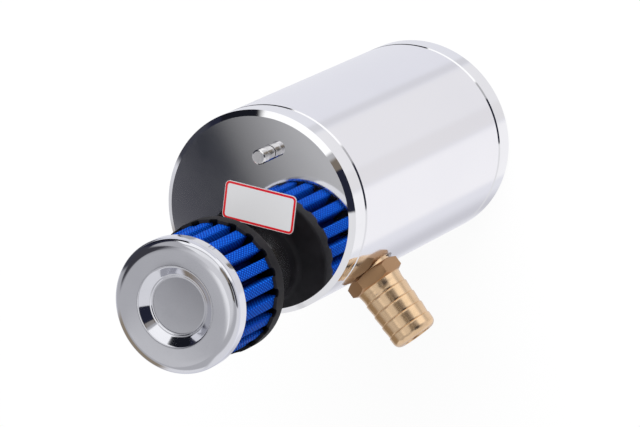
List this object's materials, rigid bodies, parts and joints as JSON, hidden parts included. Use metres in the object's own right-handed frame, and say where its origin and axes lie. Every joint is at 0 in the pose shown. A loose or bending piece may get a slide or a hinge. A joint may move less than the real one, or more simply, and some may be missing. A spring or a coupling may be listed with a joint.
{
  "type": "oil catch can",
  "caption": "Polished aluminium oil catch can with pressed-in end caps, a brass hose tail on its side, and a threaded stud, a label and a pleated breather filter on its top cap.",
  "frame": {"origin": "middle of the bottom cap's outer face, on the can's axis", "axes": "+Z along the can towards the breather filter, +X along the hose tail, away from the can"},
  "size_m": [0.1111, 0.0874, 0.2044],
  "materials": {
    "satin_aluminium": "satin polished, with fine marks along the can",
    "polished_aluminium": "mirror polished",
    "seal_rubber": "matt",
    "stud_steel": "zinc plated, satin",
    "label_film": "printed white film with a red edge",
    "filter_rubber": "matt moulded rubber",
    "filter_gauze": "woven cotton gauze",
    "support_steel": "perforated sheet",
    "chrome_sheet": "bright chrome plate",
    "clamp_steel": "bright stainless",
    "washer_brass": "dull soft brass",
    "brass": "satin turned brass"
  },
  "bodies": {
    "root": {"can_tube": "satin_aluminium", "bottom_cap": "polished_aluminium", "top_cap": "polished_aluminium", "bottom_seal": "seal_rubber", "top_seal": "seal_rubber", "mounting_stud": "stud_steel", "label": "label_film", "breather_nipple": "satin_aluminium", "filter_base": "filter_rubber", "filter_element": "filter_gauze", "filter_support": "support_steel", "filter_pad": "filter_rubber", "filter_cap": "chrome_sheet", "clamp_band": "clamp_steel", "clamp_housing": "clamp_steel", "clamp_screw": "clamp_steel", "tail_washer": "washer_brass", "hose_tail": "brass"}
  },
  "joints": []
}
